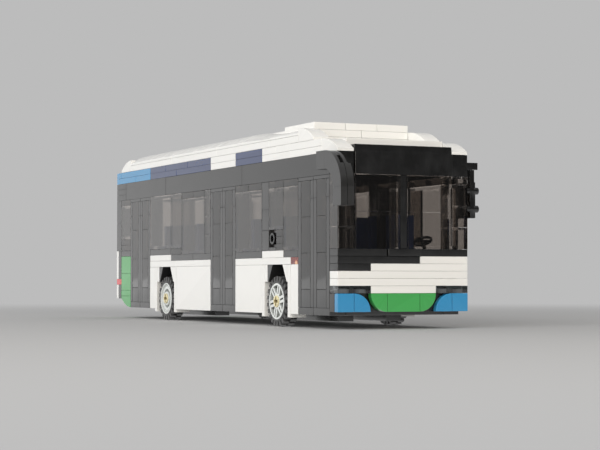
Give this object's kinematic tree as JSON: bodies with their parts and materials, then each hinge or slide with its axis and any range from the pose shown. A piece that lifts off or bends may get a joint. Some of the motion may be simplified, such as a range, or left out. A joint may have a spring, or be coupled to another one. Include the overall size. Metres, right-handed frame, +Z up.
{
  "type": "brick-built toy electric city bus",
  "caption": "Toy electric city bus built of plastic bricks: white body with blue, navy and green trim, tinted windows, double doors on the right, turning lugged wheels.",
  "frame": {"origin": "middle of the box on the floor that the wheels stand on", "axes": "+X forward, +Y to the bus's left, +Z up"},
  "size_m": [0.3038, 0.0766, 0.0923],
  "materials": {
    "white_brick": "moulded gloss",
    "black_brick": "moulded gloss",
    "dark_grey_brick": "moulded gloss",
    "tinted_brick": "clear moulded, smoke tint",
    "tinted_solid": "clear moulded, smoke tint, solid through",
    "clear_brick": "clear moulded",
    "blue_brick": "moulded gloss",
    "navy_brick": "moulded gloss",
    "green_brick": "moulded gloss",
    "red_brick": "moulded gloss",
    "amber_brick": "clear red and amber, moulded",
    "pole_grey": "moulded gloss",
    "tan_pin": "moulded gloss",
    "rim_grey": "moulded gloss",
    "tyre_rubber": "matt"
  },
  "bodies": {
    "bus": {"lower_wall_right": "white_brick", "lower_wall_left": "white_brick", "arch_corners_white": "white_brick", "stripe_white": "white_brick", "roof_deck": "white_brick", "roof_side_slopes": "white_brick", "roof_tiles": "white_brick", "roof_end_slopes": "white_brick", "front_white": "white_brick", "rear_tiles": "white_brick", "band": "black_brick", "front_black": "black_brick", "windscreen_pillar": "black_brick", "destination_board": "black_brick", "dashboard": "black_brick", "steering_wheel": "black_brick", "cab_partition": "black_brick", "mirror_left": "black_brick", "charging_port": "black_brick", "chassis_floor": "dark_grey_brick", "axle_bricks": "dark_grey_brick", "arch_corners_dark": "dark_grey_brick", "door_front": "dark_grey_brick", "door_middle": "dark_grey_brick", "door_rear": "dark_grey_brick", "window_frames": "dark_grey_brick", "rear_frame": "dark_grey_brick", "mirror_right": "dark_grey_brick", "window_panes_right": "tinted_brick", "window_panes_left": "tinted_brick", "windscreen": "tinted_brick", "rear_window": "tinted_brick", "tinted_posts": "tinted_brick", "door_glass": "tinted_solid", "tinted_plates": "tinted_solid", "headlights": "clear_brick", "bumper_blue": "blue_brick", "stripe_blue": "blue_brick", "stripe_navy": "navy_brick", "seats": "navy_brick", "bumper_green": "green_brick", "rear_green": "green_brick", "tail_lights": "red_brick", "side_markers": "amber_brick", "poles": "pole_grey"},
    "wheel_front_right": {"tyre_front_right": "tyre_rubber", "rim_front_right": "rim_grey", "axle_pin_front_right": "tan_pin"},
    "wheel_front_left": {"tyre_front_left": "tyre_rubber", "rim_front_left": "rim_grey", "axle_pin_front_left": "tan_pin"},
    "wheel_rear_right": {"tyre_rear_right": "tyre_rubber", "rim_rear_right": "rim_grey", "axle_pin_rear_right": "tan_pin"},
    "wheel_rear_left": {"tyre_rear_left": "tyre_rubber", "rim_rear_left": "rim_grey", "axle_pin_rear_left": "tan_pin"}
  },
  "joints": [
    {"name": "spin_front_right", "type": "hinge", "parent": "bus", "child": "wheel_front_right", "pos_m": [0.072, -0.0281, 0.0115], "axis": [0, 1, 0], "continuous": true},
    {"name": "spin_front_left", "type": "hinge", "parent": "bus", "child": "wheel_front_left", "pos_m": [0.072, 0.0281, 0.0115], "axis": [0, 1, 0], "continuous": true},
    {"name": "spin_rear_right", "type": "hinge", "parent": "bus", "child": "wheel_rear_right", "pos_m": [-0.072, -0.0281, 0.0115], "axis": [0, 1, 0], "continuous": true},
    {"name": "spin_rear_left", "type": "hinge", "parent": "bus", "child": "wheel_rear_left", "pos_m": [-0.072, 0.0281, 0.0115], "axis": [0, 1, 0], "continuous": true}
  ]
}
